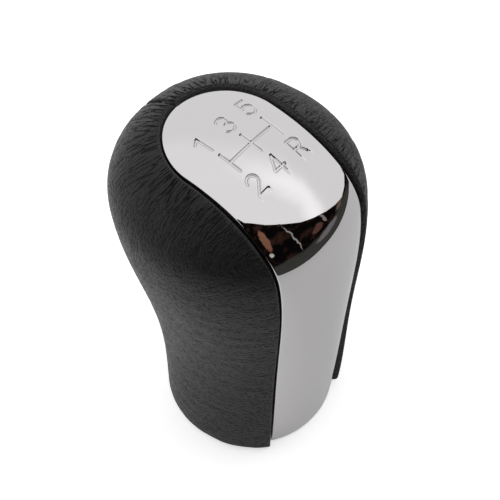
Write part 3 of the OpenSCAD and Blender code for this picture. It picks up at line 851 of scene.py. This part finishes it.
def leather_panel(form, cover, leather, side, material, name):
    """One leather panel: rolled round the cover, run round the side, into the front seam and under the base.

    The right one is built, and the left one mirrors it. Attributes tell the material the direction away from
    the cover's edge (along), the creases' place (fold) and strength (edge), where the roll gets a painted
    highlight (roll) and where the seam gets painted shade (seam).
    """
    tip = np.linspace(0, QUARTER, PANEL_ROWS[0])
    dome = np.linspace(cover.full_angle, HALF_TURN, PANEL_ROWS[1])[1:]
    hem, t = leather.hem_radius, leather.thickness
    rows, hem_depth = rows_to_hem(form, cover, tip, dome, PANEL_ROWS[2:], hem, hem + leather.hem_width)
    along, depth = quarter_round(leather.roll_radius, 9)
    wall = np.linspace(leather.fold_depth, leather.roll_radius, 5)[:-1]
    seam_along = quarter_round(leather.seam_radius, 8)[0][::-1]
    seam_wall = np.linspace(leather.seam_radius, leather.fold_depth, 5)[1:]
    reveal, half_gap = leather.reveal, leather.seam_gap / 2
    roll = reveal + np.concatenate([0 * wall, along]), np.concatenate([wall, depth])
    seam_outset = half_gap + np.concatenate([seam_along, 0 * seam_wall])
    seam = seam_outset, np.concatenate([0 * seam_along, seam_wall])
    outer = panel_face(form, cover, leather, rows, hem_depth, roll, seam, PANEL_COLUMNS, 0)
    lining, depths = np.array([t, t, t + SOFT]), np.array([leather.fold_depth, t + SOFT, t])
    inner = panel_face(
        form, cover, leather, raised_rows(rows, HEM_LEVEL + t), hem_depth,
        (reveal + lining, depths), (half_gap + lining[::-1], depths[::-1]), INNER_COLUMNS, t,
    )
    outer[..., 0] *= side
    inner[..., 0] *= side
    normal = grid_normals(outer, middle_of(form))

    left = side < 0
    column = np.arange(outer.shape[1])
    ridge = len(wall) + 2
    above_hem = hem_depth < hem
    reach, down_edge, away = from_edge(outer, outer[:, ridge], normal)
    step = np.linalg.norm(np.diff(outer, axis=1, prepend=outer[:, :1]), axis=-1)
    to_seam = np.cumsum(step[:, ::-1], axis=1)[:, ::-1] - leather.fold_depth
    on_top = smooth_step(0.12, 0.6, 1 - rows.share) if left else smooth_step(0, 0.2, 1 - rows.share)
    fade = leather.crease_reach_left if left else leather.crease_reach_right
    # The creases begin past the roll's crest, die out from 2 mm on, and are faint away from the top.
    creased = smooth_step(0.15 * MM, 0.85 * MM, reach) * (1 if left else 1.5)
    creased = creased * np.exp(-np.maximum(reach - 2 * MM, 0) / fade) * (column >= ridge)
    creased = creased * smooth_step(0, 1.5 * MM, to_seam) * above_hem * (0.05 + 0.95 * on_top)
    fields = {
        "along": away,
        "edge": creased,
        # Share of the painted highlight on the roll beside the cover, fainter on the left.
        "roll": smooth_step(1.1 * MM, 0.4 * MM, reach) * on_top * (0.5 if left else 1),
        # Share of the painted shade down in the seam.
        "seam": smooth_step(0.7 * MM, -0.3 * MM, to_seam),
        "fold": np.stack([down_edge, FOLD_STRETCH * reach, 0 * reach], axis=-1),
    }
    # The broad wrinkles are in the mesh, away from the roll, the seam and the hem.
    past_roll = column >= len(wall) + len(along)
    shown = smooth_step(0, 1 * MM, reach) * smooth_step(0, 1.2 * MM, to_seam) * past_roll * above_hem
    wrinkle = smooth_step(0.4, 0.9, streaks(outer, away, 1.6 * MM, 2 * MM, 11))
    outer = outer - normal * (leather.wrinkle_depth * shown * wrinkle)[..., None]
    attributes = {
        label: np.concatenate([
            field.reshape(-1, *field.shape[2:]), np.zeros((inner.size // 3, *field.shape[2:]))
        ])
        for label, field in fields.items()
    }
    return mesh_piece(name, *closed_sheet(outer, inner), material, attributes)


class KNOB_OT_leather(Operator):
    """Build both leather panels, with their rolled edges, creases and grain"""

    bl_idname = "knob.leather"
    bl_label = "Leather panels"

    def execute(self, context):
        scene = context.scene
        form, cover, leather = scene.knob_form, scene.knob_cover, scene.knob_leather
        material = leather_material(leather)
        for side, label in ((1, "right"), (-1, "left")):
            piece = leather_panel(form, cover, leather, side, material, f"panel_{label}")
            finish_piece(piece, f"leather_{label}")
        return {"FINISHED"}


def insert_points(trim):
    """Rings of the insert from the middle of its top down the outside and up the thread to the blind end.

    The outside is round above and a hexagon below. The thread's radius follows the phase z / pitch - angle /
    turn: a triangle wave cut off at the crest's quarter and the root's eighth of the pitch. It runs out
    before the blind end, and the mouth is chamfered.
    """
    angle = np.linspace(0, 2 * math.pi, 97)[:-1]
    top, mouth, c = trim.mouth + trim.length, trim.mouth, trim.chamfer
    hex_top = mouth + trim.hex_length
    run = trim.length - trim.hex_length
    outside = [(top, 0), (top, trim.radius - c), (top - c, trim.radius)]
    for k in (2, 1):
        low = hex_top + k * run / 3 - trim.groove_width / 2
        high = low + trim.groove_width
        inner = trim.radius - trim.groove_depth
        outside += [(high, trim.radius), (high, inner), (low, inner), (low, trim.radius)]
    outside.append((hex_top, trim.radius))
    z, r = (np.array(part)[:, None] + 0 * angle for part in zip(*outside))
    corner = trim.flats / 2 / np.cos(angle % (math.pi / 3) - math.pi / 6)
    hex_z = np.array([hex_top, mouth + 2 * c, mouth])[:, None] + 0 * angle
    hex_r = np.stack([corner, corner, np.minimum(corner, trim.flats / 2 + 2 * c)])
    height = np.linspace(0, trim.depth, 260)[:, None]
    t = np.abs(2 * ((height / trim.pitch - angle / (2 * math.pi)) % 1) - 1)
    crest, root, run_out = 0.75, 0.125, 1.2 * MM
    cut = np.clip((crest - t) / (crest - root), 0, 1)
    cut = cut * smooth_step(0, trim.pitch, trim.depth - run_out - height)
    thread = trim.core_radius + (trim.outer_radius - trim.core_radius) * cut
    thread = np.maximum(thread, trim.outer_radius + 2 * c - height)
    ends_z = np.full((2, len(angle)), mouth + trim.depth)
    ends_r = np.array([trim.core_radius - c, 0])[:, None] + 0 * angle
    z = np.concatenate([z, hex_z, mouth + height + 0 * angle, ends_z])
    r = np.concatenate([r, hex_r, thread, ends_r])
    return np.stack([r * np.cos(angle), r * np.sin(angle), z], axis=-1)


def rings_piece(name, rings, material):
    """Closed piece from rings of points whose first and last ring are single points."""
    count, around = rings.shape[:2]
    number = np.arange(count * around).reshape(count, around)
    turned = np.roll(number, -1, axis=1)
    quads = np.stack([number[:-1], number[1:], turned[1:], turned[:-1]], axis=-1).reshape(-1, 4)
    piece = mesh_piece(name, rings.reshape(-1, 3), quads, np.zeros((0, 3), int), material)
    piece.data.set_sharp_from_angle(angle=math.radians(30))
    return piece


class KNOB_OT_insert(Operator):
    """Build the turned insert with its thread"""

    bl_idname = "knob.insert"
    bl_label = "Threaded insert"

    def execute(self, context):
        piece = rings_piece("insert_turned", insert_points(context.scene.knob_insert), brass_material())
        finish_piece(piece, "threaded_insert")
        return {"FINISHED"}


class KNOB_OT_hidden(Operator):
    """Finish the core, the base cap and the seam thread"""

    bl_idname = "knob.hidden"
    bl_label = "Core, cap and thread"

    def execute(self, context):
        finishes = {
            "core": moulded_material("core_plastic", (0.02, 0.02, 0.022), 1800, 0.55),
            "base_cap": moulded_material("cap_plastic", (0.022, 0.022, 0.024), 2600, 0.6),
            "seam_thread": thread_material(),
        }
        for name, material in finishes.items():
            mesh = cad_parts[name].data
            mesh.materials.clear()
            mesh.materials.append(material)
        return {"FINISHED"}


# Stage

# The room's dark side stands at this y, on the side that the strip faces, with this outline: x and height in
# metres. The outline follows from the directions in which the plated shoulder mirrors the dark band's edge.
ROOM_SIDE = -0.5
ROOM_EDGE = (
    (-0.7, -0.7), (1.9, -0.7), (1.9, 0.14), (1.37, 0.127), (0.89, 0.099), (0.65, 0.113), (0.51, 0.173),
    (0.385, 0.247), (0.3, 0.315), (0.21, 0.406), (0.128, 0.53), (-0.005, 0.738), (-0.13, 1.01), (-0.39, 1.5),
    (-0.7, 1.7),
)
# The dark card beyond the camera.
ROOM_CAMERA = (
    (-0.7, -0.5, -0.5), (-0.95, 0.35, -0.5), (-0.95, 0.35, 0.25), (-0.82, -0.05, 0.85), (-0.7, -0.5, 1)
)
# Things in the dark room: colour, centre and size (x and height), and how ragged the outline is, in metres.
ROOM_THINGS = (
    ((0.055, 0.055, 0.05), (0.1, 0.0), (0.9, 0.11), 0.06),
    ((0.3, 0.14, 0.09), (-0.11, 0.52), (0.035, 0.2), 0.05),
    ((0.42, 0.4, 0.37), (0.09, 0.33), (0.006, 0.2), 0.05),
    ((0.7, 0.72, 0.6), (-0.12, 0.27), (0.022, 0.03), 0.03),
    ((0.2, 0.18, 0.19), (0.31, 0.07), (0.12, 0.035), 0.03),
    ((0.3, 0.26, 0.25), (0.33, 0.24), (0.01, 0.07), 0.08),
    ((0.12, 0.06, 0.045), (0.25, 0.2), (0.05, 0.04), 0.06),
    ((0.16, 0.11, 0.09), (0.6, 0.12), (0.14, 0.03), 0.08),
)
# Direction across the sky, from its near side to its far side.
SKY_TURN = (0.844, 0.365, -0.393)
# Direction over the floor, from the side where its painted glow for mirrors is faint to the side where it is
# bright.
FLOOR_TURN = (-0.8, 0.6, 0)


def hide(shader, share):
    """Let the given share of the rays through the shader's surface."""
    clear = node(shader, "BsdfTransparent").outputs["BSDF"]
    unseen = node(shader, "MixShader", share, shader.outputs["BSDF"], clear)
    fill(shader.id_data.nodes["Material Output"], Surface=unseen.outputs["Shader"])


def floor_material():
    """White floor that lifts to the background's white for the camera and still takes the shadow; for what
    mirrors it, it glows with painted light that is brighter towards the back and left.

    The camera sees through it from below.
    """
    material, place, shader = new_material("pale_floor")
    rays = node(place, "LightPath").outputs
    # Painted light: for glossy rays the floor glows, faint in front and brighter towards the back and left,
    # standing for light that falls there.
    to_bright_side = vector_maths("DOT_PRODUCT", place, FLOOR_TURN)["Value"]
    painted_glow_for_mirrors = multiply(
        maths("MAXIMUM", rays["Is Glossy Ray"], rays["Is Transmission Ray"]),
        ramp(to_bright_side, -0.05, 0.06, 0.05, 0.5),
    )
    fill(
        shader,
        Base_Color=blend(texture(place, 900, 2), (0.74, 0.74, 0.75), (0.77, 0.77, 0.78)),
        Roughness=0.9,
        Specular_IOR_Level=0.1,
        Emission_Color=WHITE,
        Emission_Strength=add(multiply(rays["Is Camera Ray"], 0.62), painted_glow_for_mirrors),
    )
    behind = node(place, "NewGeometry").outputs["Backfacing"]
    hide(shader, multiply(behind, rays["Is Camera Ray"]))
    return material


def card(name, corners, material):
    """Flat stage card from its corners."""
    mesh = bpy.data.meshes.new(name)
    mesh.from_pydata(corners, [], [tuple(range(len(corners)))])
    mesh.materials.append(material)
    made = bpy.data.objects.new(name, mesh)
    bpy.context.scene.collection.objects.link(made)


def dark_card_material(things=()):
    """Dark brown room with a few paler things in it. The camera doesn't see it, but the plating does."""
    material, place, shader = new_material("dark_room")
    bend = texture(place, 12, 3, "Color")
    shade = ramp(texture(place, 8, 4, Distortion=0.6), 0.5, 0.7, 0, 1)
    room = blend(shade, (0.004, 0.003, 0.003), (0.045, 0.022, 0.016))
    for tint, (x, z), (wide, high), ragged in things:
        centre = (x + ragged / 2, 0, z + ragged / 2)
        offset = vector_maths("SUBTRACT", moved(place, bend, ragged), centre)[0]
        scaled = vector_maths("MULTIPLY", offset, (1 / wide, 0, 1 / high))[0]
        inside = ramp(vector_maths("LENGTH", scaled)["Value"], 0.8, 1.15, 1, 0)
        room = blend(inside, room, tint)
    fill(shader, Base_Color=room, Roughness=1, Specular_IOR_Level=0)
    hide(shader, node(place, "LightPath").outputs["Is Camera Ray"])
    return material


def view_axes(look):
    """Right, up and back directions of the camera."""
    azimuth, elevation, roll = look.azimuth, look.elevation, look.roll
    flat = math.cos(elevation)
    back = Vector((math.sin(azimuth) * flat, -math.cos(azimuth) * flat, math.sin(elevation)))
    right = Vector((math.cos(azimuth), math.sin(azimuth), 0))
    up = back.cross(right)
    return (
        math.cos(roll) * right + math.sin(roll) * up,
        math.cos(roll) * up - math.sin(roll) * right,
        back,
    )


class KNOB_OT_stage(Operator):
    """Build the floor, the light and the camera"""

    bl_idname = "knob.stage"
    bl_label = "Stage"

    def execute(self, context):
        scene = context.scene
        look = scene.knob_stage
        side, near, far, low = 1.6, -0.29, 1.6, -0.05 * MM
        floor = [(-side, near, low), (side, near, low), (side, far, low), (-side, far, low)]
        card("floor", floor, floor_material())
        card("room_side", [(x, ROOM_SIDE, z) for x, z in ROOM_EDGE], dark_card_material(ROOM_THINGS))
        card("room_camera", ROOM_CAMERA, dark_card_material())
        self.make_world(scene, look)
        self.make_camera(scene, look)
        scene.view_settings.view_transform = "Standard"
        return {"FINISHED"}

    def make_world(self, scene, look):
        """White behind what the camera sees, and a soft sky that changes from one side to the other."""
        world = bpy.data.worlds.new("soft_studio")
        scene.world = world
        world.use_nodes = True
        sky = world.node_tree.nodes["Background"]
        toward = node(sky, "TexCoord").outputs["Generated"]
        across = vector_maths("DOT_PRODUCT", toward, SKY_TURN)["Value"]
        place = add(across, multiply(subtract(texture(toward, 2.5, 2), 0.5), 0.2))
        streak = multiply(ramp(place, -0.24, -0.04, 0, 1), ramp(place, -0.04, 0.15, 1, 0))
        front = node(sky, "SeparateXYZ", toward).outputs["Y"]
        streak = multiply(streak, ramp(front, -0.4, 0.4, look.window, 0))
        light = add(ramp(place, 0, 0.25, look.sky, look.horizon), streak)
        seen = node(sky, "LightPath").outputs["Is Camera Ray"]
        plain = node(sky, "Mix", Factor=seen, A=light, B=1)
        fill(sky, Color=WHITE, Strength=plain.outputs["Result"])

    def make_camera(self, scene, look):
        """Camera that looks at the aim from the given side."""
        right, up, back = view_axes(look)
        place = Vector(look.aim) + look.distance * back
        camera = bpy.data.objects.new("camera", bpy.data.cameras.new("camera"))
        scene.collection.objects.link(camera)
        camera.matrix_world = Matrix.Translation(place) @ Matrix((right, up, back)).transposed().to_4x4()
        camera.data.lens = look.focal_length
        camera.data.clip_start = 0.01
        camera.data.clip_end = 20
        scene.camera = camera


class KNOB_PT_panel(Panel):
    """Sizes of the knob and the buttons that build it"""

    bl_idname = "KNOB_PT_panel"
    bl_label = "Gear Shift Knob"
    bl_space_type = "VIEW_3D"
    bl_region_type = "UI"
    bl_category = "Knob"

    def draw(self, context):
        for group, operator in PARTS:
            box = self.layout.box()
            if group:
                settings = getattr(context.scene, group)
                for name in settings.bl_rna.properties.keys():
                    if name not in ("rna_type", "name"):
                        box.prop(settings, name)
            if operator:
                box.operator(operator)


PARTS = (
    ("knob_form", None),
    ("knob_pattern", None),
    ("knob_cover", "knob.cover"),
    ("knob_leather", "knob.leather"),
    ("knob_insert", "knob.insert"),
    (None, "knob.hidden"),
    ("knob_stage", "knob.stage"),
)
GROUPS = {
    "knob_form": KnobForm,
    "knob_cover": CoverTrim,
    "knob_pattern": GearPattern,
    "knob_leather": LeatherTrim,
    "knob_insert": InsertTrim,
    "knob_stage": StageLook,
}
CLASSES = (
    *GROUPS.values(),
    KNOB_OT_cover, KNOB_OT_leather, KNOB_OT_insert, KNOB_OT_hidden, KNOB_OT_stage, KNOB_PT_panel,
)


def register():
    """Register the classes and hang the settings on the scene."""
    for made in CLASSES:
        bpy.utils.register_class(made)
    for name, group in GROUPS.items():
        setattr(bpy.types.Scene, name, PointerProperty(type=group))


def unregister():
    """Take the settings and the classes away again."""
    for name in GROUPS:
        delattr(bpy.types.Scene, name)
    for made in reversed(CLASSES):
        bpy.utils.unregister_class(made)


def main():
    """Build everything in order."""
    register()
    for _, operator in PARTS:
        if operator:
            group, name = operator.split(".")
            getattr(getattr(bpy.ops, group), name)()


if __name__ == "__main__":
    main()
